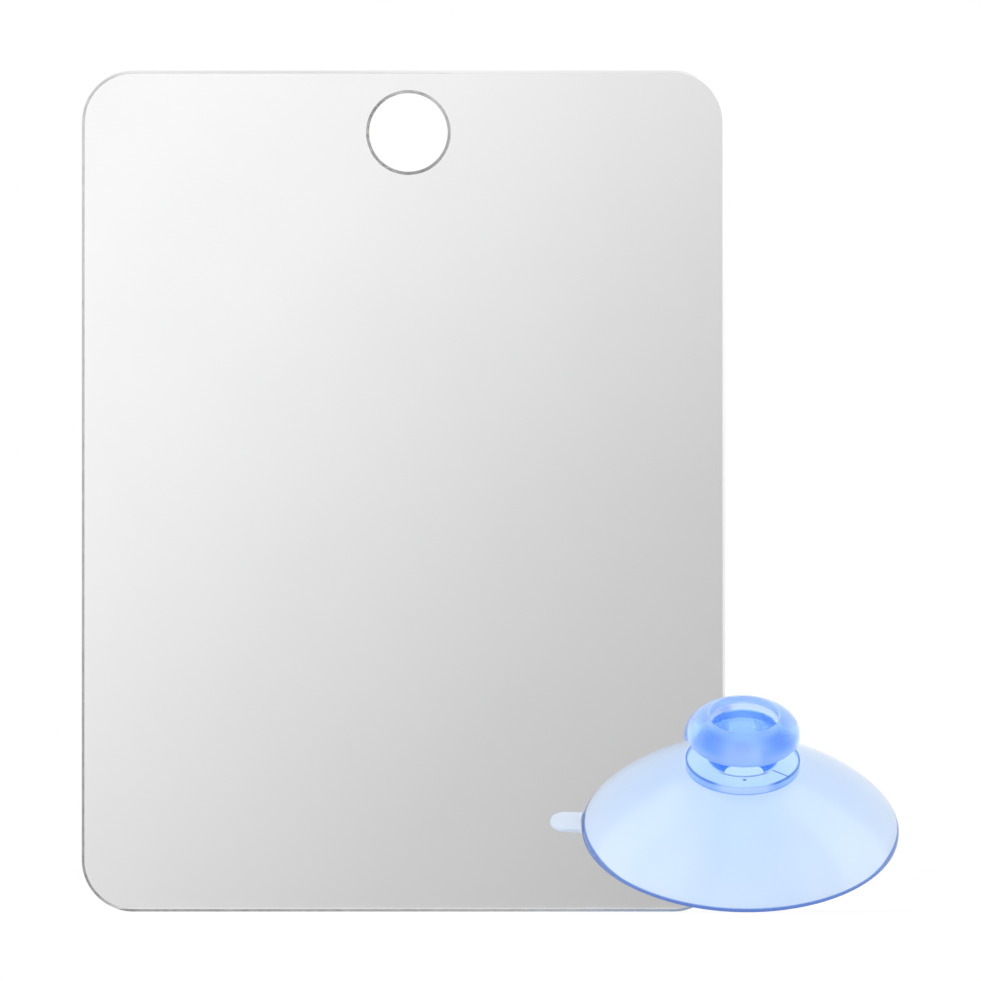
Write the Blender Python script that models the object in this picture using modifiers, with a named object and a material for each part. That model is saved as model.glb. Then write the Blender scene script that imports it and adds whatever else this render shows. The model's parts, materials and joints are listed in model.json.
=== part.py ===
"""A fogless shower mirror and the suction cup that it hangs on.

The mirror is a laminated acrylic plate with a punched hanging hole. It stands upright on its
bottom edge, in the XZ plane, and looks towards -Y. The cup is one soft moulding: a dome, a stem
with a collar, a cross-holed neck and a hollow head, and a pull tab. It leans on the plate's
lower right edge with the front of its rim on the ground. Metres, +Z up. The origin is the
middle of the plate's bottom edge, half-way through the acrylic.
"""
import math

import bmesh
import bpy
from mathutils import Matrix, Vector

# The mirror plate
MIRROR_WIDTH = 0.130
MIRROR_HEIGHT = 0.170
CORNER_RADIUS = 0.0105
ACRYLIC_THICKNESS = 0.0014
ANTIFOG_THICKNESS = 0.00005
COATING_THICKNESS = 0.00003
PAINT_THICKNESS = 0.00005
EDGE_CHAMFER = 0.0005

# The hanging hole: its middle under the top edge and beside the middle line, and its chamfer
HOLE_DROP = 0.0125
HOLE_SIDE = 0.0010
HOLE_CHAMFER = 0.0006

# The cup's dome, measured over the plane of its rim
RIM_RADIUS = 0.03175
RIM_EDGE = 0.0008
LIP_WIDTH = 0.0004
LIP_RISE = 0.00012
CONTACT_WIDTH = 0.0010
DOME_HEIGHT = 0.0152
CROWN_THICKNESS = 0.0022
CEILING_RISE = 0.0008
CEILING_MARGIN = 0.0009
CROWN_MARGIN = 0.0002
FOOT_POWER = 0.75
CROWN_POWER = 1.1

# The cup's stem
COLLAR_RADIUS = 0.0115
COLLAR_THICKNESS = 0.00185
COLLAR_ROUNDING = 0.0002
NECK_RADIUS = 0.00705
NECK_FILLET = 0.0003
HEAD_TOP_HEIGHT = 0.00575
HEAD_TOP_FULLNESS = 2.4
HEAD_BASE_HEIGHT = 0.00305
HEAD_BASE_FULLNESS = 2.2
RECESS_RADIUS = 0.0070
RECESS_DEPTH = 0.0029
RECESS_FILLET = 0.0006
RECESS_CROWN = 0.0003
LIP_ROUNDING = 0.0008
CROSS_HOLE_WIDTH = 0.0078
CROSS_HOLE_HEIGHT = 0.0025
CROSS_HOLE_SILL = 0.00015

# The pull tab
TAB_LENGTH = 0.0063
TAB_WIDTH = 0.0066
TAB_THICKNESS = 0.0010
TAB_FILLET = 0.0018
TAB_FILLET_TURN = math.radians(40.0)
TAB_ROUNDING = 0.00015
TAB_TURN = math.radians(4.5)

# How the cup and the mirror fit each other
HANGING_PLAY = 0.0009
HEAD_GRIP = 0.00335
GROOVE_PLAY = 0.0014

# How the loose cup lies against the mirror
CUP_TILT = math.radians(31.0)
CUP_TURN = math.radians(2.1)
CUP_OVERHANG = 0.0029
LEAN_GAP = 0.0003

# Clearances between neighbouring solids, and the length by which a cut runs past its walls
SEAT_GAP = 0.00002
ROOT_GAP = 0.0003
CUT_OVERRUN = 0.002

# Facets
DOME_STEPS = 96
STEM_STEPS = 64
HOLE_STEPS = 64
CORNER_STEPS = 14
ARCH_STEPS = 16
OUTER_POINTS = 12
INNER_POINTS = 9
CEILING_POINTS = 3
HEAD_POINTS = 10
FILLET_POINTS = 3
TAB_POINTS = 12

# Sizes that follow
STACK_THICKNESS = ANTIFOG_THICKNESS + ACRYLIC_THICKNESS + COATING_THICKNESS + PAINT_THICKNESS
ACRYLIC_FRONT = -ACRYLIC_THICKNESS / 2
ACRYLIC_BACK = ACRYLIC_THICKNESS / 2
MIRROR_FRONT = ACRYLIC_FRONT - ANTIFOG_THICKNESS
MIRROR_BACK = MIRROR_FRONT + STACK_THICKNESS
HOLE_RADIUS = NECK_RADIUS + HANGING_PLAY
HOLE_HEIGHT = MIRROR_HEIGHT - HOLE_DROP
HEAD_RADIUS = HOLE_RADIUS + HEAD_GRIP
GROOVE_HEIGHT = STACK_THICKNESS + GROOVE_PLAY
CROWN_RADIUS = COLLAR_RADIUS + CROWN_MARGIN
COLLAR_TOP = DOME_HEIGHT + SEAT_GAP + COLLAR_THICKNESS
CUP_SIDE = MIRROR_WIDTH / 2 + CUP_OVERHANG

# Colours and finishes: red, green, blue, roughness, metallic
FINISHES = {
    "clear_acrylic": ((0.86, 0.87, 0.88), 0.04, 0.0),
    "antifog_coat": ((0.90, 0.92, 0.94), 0.12, 0.0),
    "silver_coating": ((0.90, 0.90, 0.90), 0.02, 1.0),
    "grey_backing_paint": ((0.46, 0.47, 0.48), 0.55, 0.0),
    "blue_pvc": ((0.45, 0.66, 0.95), 0.12, 0.0),
    "pale_pvc": ((0.70, 0.83, 0.97), 0.15, 0.0),
}


def clear_scene():
    """Remove every object that the file starts with."""
    for thing in list(bpy.data.objects):
        bpy.data.objects.remove(thing)


def new_collection(name):
    """A collection under the scene's own."""
    made = bpy.data.collections.new(name)
    bpy.context.scene.collection.children.link(made)
    return made


def finish(name):
    """The material of a finish by its name, made once."""
    known = bpy.data.materials.get(name)
    if known:
        return known
    colour, roughness, metallic = FINISHES[name]
    made = bpy.data.materials.new(name)
    made.use_nodes = True
    shader = made.node_tree.nodes["Principled BSDF"]
    shader.inputs["Base Color"].default_value = (*colour, 1.0)
    shader.inputs["Roughness"].default_value = roughness
    shader.inputs["Metallic"].default_value = metallic
    return made


def add_object(name, data, collection, parent=None, material=None):
    """An object that holds the data, in a collection, under a parent, with one finish."""
    made = bpy.data.objects.new(name, data)
    collection.objects.link(made)
    made.parent = parent
    if material:
        data.materials.append(finish(material))
    return made


def mesh_from(bm, name):
    """A mesh that takes over a bmesh, smooth but for its edges."""
    mesh = bpy.data.meshes.new(name)
    bm.to_mesh(mesh)
    bm.free()
    mesh.shade_smooth()
    mesh.set_sharp_from_angle(angle=math.radians(35.0))
    return mesh


def arc(centre, reach, start, end, steps):
    """Points on an ellipse's arc: its middle, its two half axes and its end angles in degrees."""
    turns = [math.radians(start + (end - start) * k / steps) for k in range(steps + 1)]
    return [(centre[0] + reach[0] * math.cos(t), centre[1] + reach[1] * math.sin(t)) for t in turns]


def turned(name, profile, steps, collection, parent, material):
    """A solid of revolution about the parent's Z, from a profile that runs down its outer side."""
    mesh = bpy.data.meshes.new(name)
    points = [(radius, 0.0, height) for radius, height in profile]
    mesh.from_pydata(points, [(k, k + 1) for k in range(len(points) - 1)], [])
    made = add_object(name, mesh, collection, parent, material)
    screw = made.modifiers.new("turn", "SCREW")
    screw.axis = "Z"
    screw.angle = 2 * math.pi
    screw.steps = steps
    screw.render_steps = steps
    screw.use_merge_vertices = True
    screw.merge_threshold = SEAT_GAP / 4
    screw.use_smooth_shade = True
    return made


def cut(target, cutter, name):
    """Take the cutter's shape out of the target."""
    boolean = target.modifiers.new(name, "BOOLEAN")
    boolean.operation = "DIFFERENCE"
    boolean.solver = "EXACT"
    boolean.object = cutter


def as_cutter(thing):
    """Show an object as a wire guide that isn't part of the model."""
    thing.hide_render = True
    thing.display_type = "WIRE"
    return thing


def layer(name, inset, front, thickness, chamfer, collection, material):
    """One layer of the plate: a slab with round corners, drawn in from the outline by an inset.

    The slab starts as a cube. Its four edges along Y are rounded to the corner radius, and the
    edge round its front face is chamfered where the layer has a chamfer.
    """
    size = Vector((MIRROR_WIDTH - 2 * inset, thickness, MIRROR_HEIGHT - 2 * inset))
    middle = Vector((0.0, front + thickness / 2, MIRROR_HEIGHT / 2))
    bm = bmesh.new()
    bmesh.ops.create_cube(bm, size=1.0, matrix=Matrix.LocRotScale(middle, None, size))
    corners = [e for e in bm.edges if abs(e.verts[0].co.y - e.verts[1].co.y) > thickness / 2]
    bmesh.ops.bevel(
        bm,
        geom=corners,
        offset=CORNER_RADIUS - inset,
        offset_type="OFFSET",
        segments=CORNER_STEPS,
        profile=0.5,
        affect="EDGES",
    )
    if chamfer:
        rim = [e for e in bm.edges if all(v.co.y < middle.y for v in e.verts)]
        bmesh.ops.bevel(
            bm,
            geom=rim,
            offset=chamfer,
            offset_type="OFFSET",
            segments=1,
            profile=0.5,
            affect="EDGES",
        )
    return add_object(name, mesh_from(bm, name), collection, None, material)


def hole_cutter(collection):
    """The punch for the hanging hole: a pin whose front end widens into the chamfer."""
    turn = Matrix.Rotation(math.radians(90.0), 4, "X")
    holder = add_object("hole_axis", None, collection)
    holder.matrix_world = Matrix.Translation((HOLE_SIDE, 0.0, HOLE_HEIGHT)) @ turn
    reach = STACK_THICKNESS + CUT_OVERRUN
    wide = HOLE_RADIUS + HOLE_CHAMFER + CUT_OVERRUN
    profile = [
        (0.0, -ACRYLIC_FRONT + CUT_OVERRUN),
        (wide, -ACRYLIC_FRONT + CUT_OVERRUN),
        (HOLE_RADIUS, -ACRYLIC_FRONT - HOLE_CHAMFER),
        (HOLE_RADIUS, -reach),
        (0.0, -reach),
    ]
    return as_cutter(turned("hole_punch", profile, HOLE_STEPS, collection, holder, None))


def make_mirror(parts, guides):
    """The plate's four layers, front to back, each with the hanging hole through it."""
    film = layer(
        "antifog_film", EDGE_CHAMFER, MIRROR_FRONT, ANTIFOG_THICKNESS, 0.0, parts, "antifog_coat"
    )
    sheet = layer(
        "acrylic_sheet", 0.0, ACRYLIC_FRONT, ACRYLIC_THICKNESS, EDGE_CHAMFER, parts, "clear_acrylic"
    )
    coating = layer(
        "mirror_coating", 0.0, ACRYLIC_BACK, COATING_THICKNESS, 0.0, parts, "silver_coating"
    )
    paint = layer(
        "backing_paint",
        0.0,
        ACRYLIC_BACK + COATING_THICKNESS,
        PAINT_THICKNESS,
        0.0,
        parts,
        "grey_backing_paint",
    )
    punch = hole_cutter(guides)
    for piece in (film, sheet, coating, paint):
        cut(piece, punch, "hanging_hole")


def dome_rise(share):
    """How much of its height a dome wall has gained at a share of its way from rim to crown.

    The wall starts upright at the rim, bends over like a bell and runs out to the crown.
    """
    return (1 - (1 - share) ** CROWN_POWER) ** FOOT_POWER


def dome_wall(foot, top, points):
    """A dome wall's profile from its top down to its foot, both given as radius and height.

    Its points lie closer together towards the foot, where the wall is steep.
    """
    shares = [(k / points) ** (1 / FOOT_POWER) for k in range(points, -1, -1)]
    return [
        (foot[0] + (top[0] - foot[0]) * s, foot[1] + (top[1] - foot[1]) * dome_rise(s))
        for s in shares
    ]


def make_dome(parts, cup):
    """The dome: a thin bell with a flat crown for the collar and a flat ring to press on a wall."""
    contact_out = RIM_RADIUS - LIP_WIDTH
    contact_in = contact_out - CONTACT_WIDTH
    ceiling_radius = COLLAR_RADIUS + CEILING_MARGIN
    ceiling_edge = DOME_HEIGHT - CROWN_THICKNESS
    outer = dome_wall((RIM_RADIUS, RIM_EDGE), (CROWN_RADIUS, DOME_HEIGHT), OUTER_POINTS)
    inner = dome_wall((contact_in, 0.0), (ceiling_radius, ceiling_edge), INNER_POINTS)
    ceiling = [
        (ceiling_radius * s, ceiling_edge + CEILING_RISE * (1 - s * s))
        for s in [k / CEILING_POINTS for k in range(CEILING_POINTS - 1, -1, -1)]
    ]
    profile = [(0.0, DOME_HEIGHT), *outer, (RIM_RADIUS, LIP_RISE), (contact_out, 0.0)]
    profile += [*reversed(inner), *ceiling]
    return turned("cup_dome", profile, DOME_STEPS, parts, cup, "blue_pvc")


def head_turn(radius, fullness):
    """The turn at which the head's section, a superellipse's quarter, reaches a radius."""
    return math.acos((radius / HEAD_RADIUS) ** (fullness / 2))


def head_side(middle, height, fullness, radius):
    """The head's outside from its widest ring up or down to a radius, on a superellipse."""
    last = head_turn(radius, fullness)
    turns = [last * k / HEAD_POINTS for k in range(HEAD_POINTS + 1)]
    return [
        (
            HEAD_RADIUS * math.cos(t) ** (2 / fullness),
            middle + height * math.sin(t) ** (2 / fullness),
        )
        for t in turns
    ]


def head_profile(shoulder):
    """The head and its recess, from the recess's middle out over the lip and down to the neck."""
    neck = NECK_RADIUS + NECK_FILLET
    below = math.sin(head_turn(neck, HEAD_BASE_FULLNESS)) ** (2 / HEAD_BASE_FULLNESS)
    middle = shoulder + HEAD_BASE_HEIGHT * below
    lip_radius = RECESS_RADIUS + LIP_ROUNDING
    upper = head_side(middle, HEAD_TOP_HEIGHT, HEAD_TOP_FULLNESS, lip_radius)
    lower = head_side(middle, -HEAD_BASE_HEIGHT, HEAD_BASE_FULLNESS, neck)
    lip = upper[-1][1]
    floor = lip - RECESS_DEPTH
    flat = RECESS_RADIUS - RECESS_FILLET
    shares = [k / FILLET_POINTS for k in range(FILLET_POINTS + 1)]
    dish = [(flat * s, floor + RECESS_CROWN * (1 - s * s)) for s in shares]
    corner = arc(
        (flat, floor + RECESS_FILLET), (RECESS_FILLET, RECESS_FILLET), -90, 0, FILLET_POINTS
    )
    edge = arc((lip_radius, lip - LIP_ROUNDING), (LIP_ROUNDING, LIP_ROUNDING), 180, 90, FILLET_POINTS)
    return dish + corner[1:] + edge + upper[-2::-1] + lower[1:]


def make_stem(parts, guides, stem):
    """The stem: collar, neck and head turned as one, with an arched cross hole through the neck."""
    shoulder = COLLAR_TOP + GROOVE_HEIGHT
    foot = DOME_HEIGHT + SEAT_GAP
    both = (NECK_FILLET, NECK_FILLET)
    round_edge = (COLLAR_ROUNDING, COLLAR_ROUNDING)
    rim = COLLAR_RADIUS - COLLAR_ROUNDING
    upper = arc((NECK_RADIUS + NECK_FILLET, shoulder - NECK_FILLET), both, 90, 180, FILLET_POINTS)
    lower = arc((NECK_RADIUS + NECK_FILLET, COLLAR_TOP + NECK_FILLET), both, 180, 270, FILLET_POINTS)
    profile = head_profile(shoulder) + upper[1:] + lower
    profile += arc((rim, COLLAR_TOP - COLLAR_ROUNDING), round_edge, 90, 0, FILLET_POINTS)
    profile += arc((rim, foot + COLLAR_ROUNDING), round_edge, 0, -90, FILLET_POINTS)
    profile.append((0.0, foot))
    body = turned("cup_stem", profile, STEM_STEPS, parts, stem, "blue_pvc")
    cut(body, arch_cutter(guides, stem), "cross_hole")
    return body


def arch_cutter(guides, stem):
    """The core of the cross hole: half an ellipse on a flat sill, drawn out along Y."""
    sill = COLLAR_TOP + CROSS_HOLE_SILL
    outline = arc((0.0, 0.0), (CROSS_HOLE_WIDTH / 2, CROSS_HOLE_HEIGHT), 0, 180, ARCH_STEPS)
    flat = flat_curve("arch_outline", outline, NECK_RADIUS + CUT_OVERRUN)
    turn = Matrix.Rotation(math.radians(90.0), 4, "X")
    core = solid_from_curve("cross_hole_core", flat, Matrix.Translation((0, 0, sill)) @ turn, guides)
    core.parent = stem
    return as_cutter(core)


def flat_curve(name, outline, half_thickness):
    """A filled flat outline of points in X and Y, with half its thickness on each side."""
    curve = bpy.data.curves.new(name, "CURVE")
    curve.dimensions = "2D"
    curve.fill_mode = "BOTH"
    curve.extrude = half_thickness
    spline = curve.splines.new("POLY")
    spline.points.add(len(outline) - 1)
    for point, (x, y) in zip(spline.points, outline):
        point.co = (x, y, 0.0, 1.0)
    spline.use_cyclic_u = True
    return curve


def solid_from_curve(name, curve, place, collection, material=None):
    """A closed mesh object from a filled curve, moved by a matrix, its caps welded on."""
    draft = bpy.data.objects.new(name, curve)
    bpy.context.scene.collection.objects.link(draft)
    graph = bpy.context.evaluated_depsgraph_get()
    mesh = bpy.data.meshes.new_from_object(draft.evaluated_get(graph))
    bpy.data.objects.remove(draft)
    bm = bmesh.new()
    bm.from_mesh(mesh)
    bmesh.ops.remove_doubles(bm, verts=bm.verts, dist=SEAT_GAP / 4)
    bmesh.ops.dissolve_limit(bm, angle_limit=math.radians(1.0), verts=bm.verts, edges=bm.edges)
    bmesh.ops.transform(bm, matrix=place, verts=bm.verts)
    bmesh.ops.recalc_face_normals(bm, faces=bm.faces)
    return add_object(name, mesh_from(bm, name), collection, None, material)


def tab_outline():
    """The tab seen from above, from its root on the rim to its round end, in the hinge's frame.

    The root runs along the rim at the root gap, the sides flare out to it in two short fillets,
    and the end is half a circle. The frame's X points away from the cup and starts on the hinge.
    """
    half = TAB_WIDTH / 2
    root = RIM_RADIUS + ROOT_GAP
    wide = half + TAB_FILLET
    corner = wide - TAB_FILLET * math.cos(TAB_FILLET_TURN)
    spread = math.degrees(math.asin(corner / root))
    along_rim = arc((-root, 0.0), (root, root), spread, -spread, TAB_POINTS // 2)
    foot = along_rim[-1][0] + TAB_FILLET * math.sin(TAB_FILLET_TURN)
    fillet = (TAB_FILLET, TAB_FILLET)
    sweep = math.degrees(TAB_FILLET_TURN)
    near = arc((foot, -wide), fillet, 90 + sweep, 90, FILLET_POINTS)
    end = arc((TAB_LENGTH - half, 0.0), (half, half), -90, 90, TAB_POINTS)
    far = arc((foot, wide), fillet, 270, 270 - sweep, FILLET_POINTS)
    return along_rim + near[1:] + end + far[:-1]


def make_tab(parts, tab):
    """The pull tab: a flat tongue with slightly rounded edges, hinged along its root's top edge."""
    down = Matrix.Translation((0.0, 0.0, -TAB_THICKNESS / 2))
    curve = flat_curve("tab_outline", tab_outline(), TAB_THICKNESS / 2)
    piece = solid_from_curve("pull_tab", curve, down, parts, "pale_pvc")
    piece.parent = tab
    edges = piece.modifiers.new("rounding", "BEVEL")
    edges.width = TAB_ROUNDING
    edges.segments = 2
    edges.limit_method = "ANGLE"
    edges.angle_limit = math.radians(60.0)
    return piece


def rim_reach():
    """How far behind its middle the tilted rim is, at the side where the plate's front ends."""
    front_end = MIRROR_WIDTH / 2 - EDGE_CHAMFER
    side = math.cos(CUP_TURN)
    skew = math.sin(CUP_TURN) * math.cos(CUP_TILT)
    share = (front_end - CUP_SIDE) / (RIM_RADIUS * math.hypot(side, skew))
    turn = math.acos(share) - math.atan2(skew, side)
    across = math.cos(turn) * math.sin(CUP_TURN)
    along = math.sin(turn) * math.cos(CUP_TURN) * math.cos(CUP_TILT)
    return RIM_RADIUS * (across + along)


def cup_frames(parts):
    """The empties that place the cup: at its rim's middle, on its stem and on its tab's hinge.

    The cup is tilted forward about X and then turned a little about Z. Its rim leans on the
    plate where the plate's flat front ends, and its lowest point is on the ground.
    """
    back = rim_reach() - LIP_RISE * math.sin(CUP_TILT)
    lift = RIM_RADIUS * math.sin(CUP_TILT) - LIP_RISE * math.cos(CUP_TILT)
    cup = add_object("cup_axis", None, parts)
    cup.location = (CUP_SIDE, MIRROR_FRONT - LEAN_GAP - back, lift)
    cup.rotation_euler = (CUP_TILT, 0.0, CUP_TURN)
    stem = add_object("press_axis", None, parts, cup)
    tab = add_object("tab_hinge", None, parts, cup)
    out = math.pi - TAB_TURN
    root = RIM_RADIUS + ROOT_GAP
    tab.location = (root * math.cos(out), root * math.sin(out), TAB_THICKNESS)
    tab.rotation_euler = (0.0, 0.0, out)
    return cup, stem, tab


def main():
    """Build the whole object."""
    clear_scene()
    parts = new_collection("fogless_shower_mirror")
    guides = new_collection("cutters")
    make_mirror(parts, guides)
    cup, stem, tab = cup_frames(parts)
    make_dome(parts, cup)
    make_stem(parts, guides, stem)
    make_tab(parts, tab)


main()
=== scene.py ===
"""A studio picture of a fogless shower mirror and the suction cup that it hangs on.

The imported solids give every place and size. The plate's clear sheet and the three stretches of
the soft cup are made again as fine surfaces, the plate's thin layers keep their solids, and each
piece gets its finish here.
"""
import json
import math

import bmesh
import bpy
import numpy as np
from bpy.props import FloatProperty, FloatVectorProperty, PointerProperty
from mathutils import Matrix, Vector


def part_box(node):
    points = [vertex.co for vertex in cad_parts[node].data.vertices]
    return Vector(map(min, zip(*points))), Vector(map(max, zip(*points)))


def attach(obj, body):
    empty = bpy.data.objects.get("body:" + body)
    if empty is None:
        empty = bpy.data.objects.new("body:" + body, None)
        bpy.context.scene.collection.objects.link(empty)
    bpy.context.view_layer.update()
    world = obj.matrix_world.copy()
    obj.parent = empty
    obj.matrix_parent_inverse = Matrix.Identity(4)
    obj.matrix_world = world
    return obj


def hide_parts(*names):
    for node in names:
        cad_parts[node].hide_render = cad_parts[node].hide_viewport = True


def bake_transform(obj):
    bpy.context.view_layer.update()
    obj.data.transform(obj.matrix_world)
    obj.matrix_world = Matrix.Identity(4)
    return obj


bl_info = {
    "name": "Shower Mirror and Suction Cup",
    "version": (1, 0, 0),
    "blender": (4, 5, 0),
    "location": "View3D > Sidebar > Shower Mirror",
    "description": "Dresses a fogless shower mirror and its suction cup for a studio picture",
    "category": "Add Mesh",
}

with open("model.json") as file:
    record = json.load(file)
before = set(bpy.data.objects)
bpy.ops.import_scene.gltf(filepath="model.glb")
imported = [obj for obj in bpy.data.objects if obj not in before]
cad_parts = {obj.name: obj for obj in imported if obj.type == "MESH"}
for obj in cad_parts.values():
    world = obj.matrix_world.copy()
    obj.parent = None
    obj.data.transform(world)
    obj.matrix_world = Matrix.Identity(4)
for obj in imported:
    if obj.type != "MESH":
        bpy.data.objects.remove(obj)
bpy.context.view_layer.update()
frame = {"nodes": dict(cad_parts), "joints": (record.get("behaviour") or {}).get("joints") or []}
SHEET_LOW, SHEET_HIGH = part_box("acrylic_sheet")
JOINTS = {joint["name"]: joint for joint in frame["joints"]}
MM = 0.001
TINY = 0.01  # keeps a division by a radius from failing on the axis
WHITE = (1.0, 1.0, 1.0, 1.0)
BLACK = (0.0, 0.0, 0.0, 1.0)


def length(name, description, default):
    """A size in metres for the sidebar."""
    return FloatProperty(
        name=name, description=description, default=default, min=0.0, precision=5, unit="LENGTH"
    )


def share(name, description, default):
    """A share from none to all for the sidebar."""
    return FloatProperty(
        name=name, description=description, default=default, min=0.0, max=1.0, subtype="FACTOR"
    )


def colour(name, description, default):
    """A colour for the sidebar."""
    return FloatVectorProperty(
        name=name, description=description, default=default, min=0.0, max=1.0, subtype="COLOR"
    )


class PlateSettings(bpy.types.PropertyGroup):
    """Sizes and colours of the mirror plate."""

    corner: length("Corner radius", "Radius of the plate's four corners", 0.0105)
    chamfer: length("Edge chamfer", "Bevel round the front edge", 0.0005)
    hole_radius: length("Hole radius", "Radius of the hanging hole", 0.00795)
    hole_side: length("Hole offset", "How far right of the middle line the hole is", 0.001)
    hole_drop: length("Hole drop", "Distance of the hole's middle from the top edge", 0.0125)
    hole_chamfer: length("Hole chamfer", "Bevel round the hole's front edge", 0.0006)
    bond: length("Bond", "How far the sheet's back reaches into the silver", 0.00001)
    acrylic: colour("Acrylic", "Tint of the clear sheet", (0.995, 0.995, 0.995))
    silver: colour("Silver", "Colour of the reflecting layer", (0.965, 0.965, 0.965))
    paint: colour("Backing paint", "Colour of the paint on the back", (0.19, 0.195, 0.2))
    haze: share("Film haze", "How much each face of the fog-free film veils the mirror", 0.012)


class CupSettings(bpy.types.PropertyGroup):
    """Sizes and colours of the suction cup."""

    rim_radius: length("Rim radius", "Radius of the dome's rim", 0.03175)
    rim_edge: length("Rim edge", "Height of the rim's upright edge", 0.0008)
    lip_width: length("Lip width", "Width of the slope under the rim's edge", 0.0004)
    lip_rise: length("Lip rise", "Rise of the slope under the rim's edge", 0.00012)
    contact_width: length("Contact width", "Width of the ring that seals on the wall", 0.001)
    dome_height: length("Dome height", "Height of the dome's crown over the rim", 0.0152)
    crown_radius: length("Crown radius", "Radius of the flat crown under the collar", 0.0117)
    crown_wall: length("Crown wall", "Thickness of the dome's crown", 0.0022)
    ceiling_radius: length("Ceiling radius", "Radius of the hollow's ceiling", 0.0124)
    ceiling_rise: length("Ceiling rise", "How far the ceiling is arched", 0.0008)
    foot_power: share("Foot power", "How steeply the dome's wall starts at the rim", 0.75)
    crown_power: FloatProperty(
        name="Crown power", description="How flat the wall runs out at the crown", default=1.1
    )
    seat: length("Seat gap", "Gap between the dome's crown and the collar", 0.00002)
    collar_radius: length("Collar radius", "Radius of the collar", 0.0115)
    collar_height: length("Collar height", "Thickness of the collar", 0.00185)
    neck_radius: length("Neck radius", "Radius of the neck", 0.00705)
    groove: length("Groove", "Height of the groove that holds the plate", 0.00293)
    head_radius: length("Head radius", "Radius of the mushroom head", 0.0113)
    head_top: length("Head top", "Height of the head's section over its widest ring", 0.00575)
    head_base: length("Head base", "Depth of the head's section under its widest ring", 0.00305)
    recess_radius: length("Recess radius", "Radius of the recess in the head", 0.007)
    recess_depth: length("Recess depth", "Depth of the recess under its lip", 0.0029)
    lip_rounding: length("Lip rounding", "Rounding of the recess's lip", 0.0004)
    hole_width: length("Cross hole width", "Width of the arched hole through the neck", 0.0078)
    hole_height: length("Cross hole height", "Height of the arched hole", 0.0025)
    hole_sill: length("Cross hole sill", "Height of the arch's flat over the collar", 0.00015)
    tab_length: length("Tab length", "Length of the pull tab", 0.0063)
    tab_width: length("Tab width", "Width of the pull tab", 0.0066)
    tab_height: length("Tab thickness", "Thickness of the pull tab", 0.001)
    tab_gap: length("Tab gap", "Gap between the rim and the tab's root", 0.0003)
    tab_rounding: length("Tab rounding", "Rounding of the tab's edges", 0.00022)
    pvc: colour("Blue plastic", "What 5 mm of the plastic lets through", (0.655, 0.797, 0.996))


class StageSettings(bpy.types.PropertyGroup):
    """Light, floor and camera of the studio."""

    world: share("World light", "Strength of the even light from all round", 1.0)
    key: FloatProperty(name="Key lamp", description="Watts of the left lamp", default=24.0)
    fill: FloatProperty(name="Fill lamp", description="Watts of the right lamp", default=2.5)
    soft_box: FloatProperty(name="Soft boxes", description="Glow of the side boxes", default=2.0)
    lens: FloatProperty(name="Lens", description="Focal length in mm", default=907.7, min=1.0)
    distance: length("Camera distance", "From the camera to the plate", 5.0)
    pitch: FloatProperty(
        name="Pitch", description="How far the camera looks up", default=0.01396, subtype="ANGLE"
    )
    floor: colour("Floor", "Colour of the floor", (0.97, 0.97, 0.97))


class Wire:
    """An output socket of a shader node, with arithmetic that adds Math nodes."""

    def __init__(self, recipe, socket):
        self.recipe = recipe
        self.socket = socket

    def reckon(self, operation, first, second=None):
        """A Math node's result for two values or wires."""
        settings = {"operation": operation}
        return self.recipe.add("ShaderNodeMath", settings, {0: first, 1: second})

    def __add__(self, other):
        return self.reckon("ADD", self, other)

    def __radd__(self, other):
        return self.reckon("ADD", other, self)

    def __sub__(self, other):
        return self.reckon("SUBTRACT", self, other)

    def __rsub__(self, other):
        return self.reckon("SUBTRACT", other, self)

    def __mul__(self, other):
        return self.reckon("MULTIPLY", self, other)

    def __rmul__(self, other):
        return self.reckon("MULTIPLY", other, self)

    def __truediv__(self, other):
        return self.reckon("DIVIDE", self, other)

    def __pow__(self, other):
        return self.reckon("POWER", self, other)

    def __rpow__(self, other):
        return self.reckon("POWER", other, self)

    def __abs__(self):
        return self.reckon("ABSOLUTE", self)

    def step(self, low, high):
        """0 below low, 1 above high, and smooth between them; high may be the lower one."""
        settings = {"interpolation_type": "SMOOTHSTEP"}
        if low < high:
            return self.recipe.add("ShaderNodeMapRange", settings, {0: self, 1: low, 2: high})
        ends = {0: self, 1: high, 2: low, 3: 1.0, 4: 0.0}
        return self.recipe.add("ShaderNodeMapRange", settings, ends)


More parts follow.
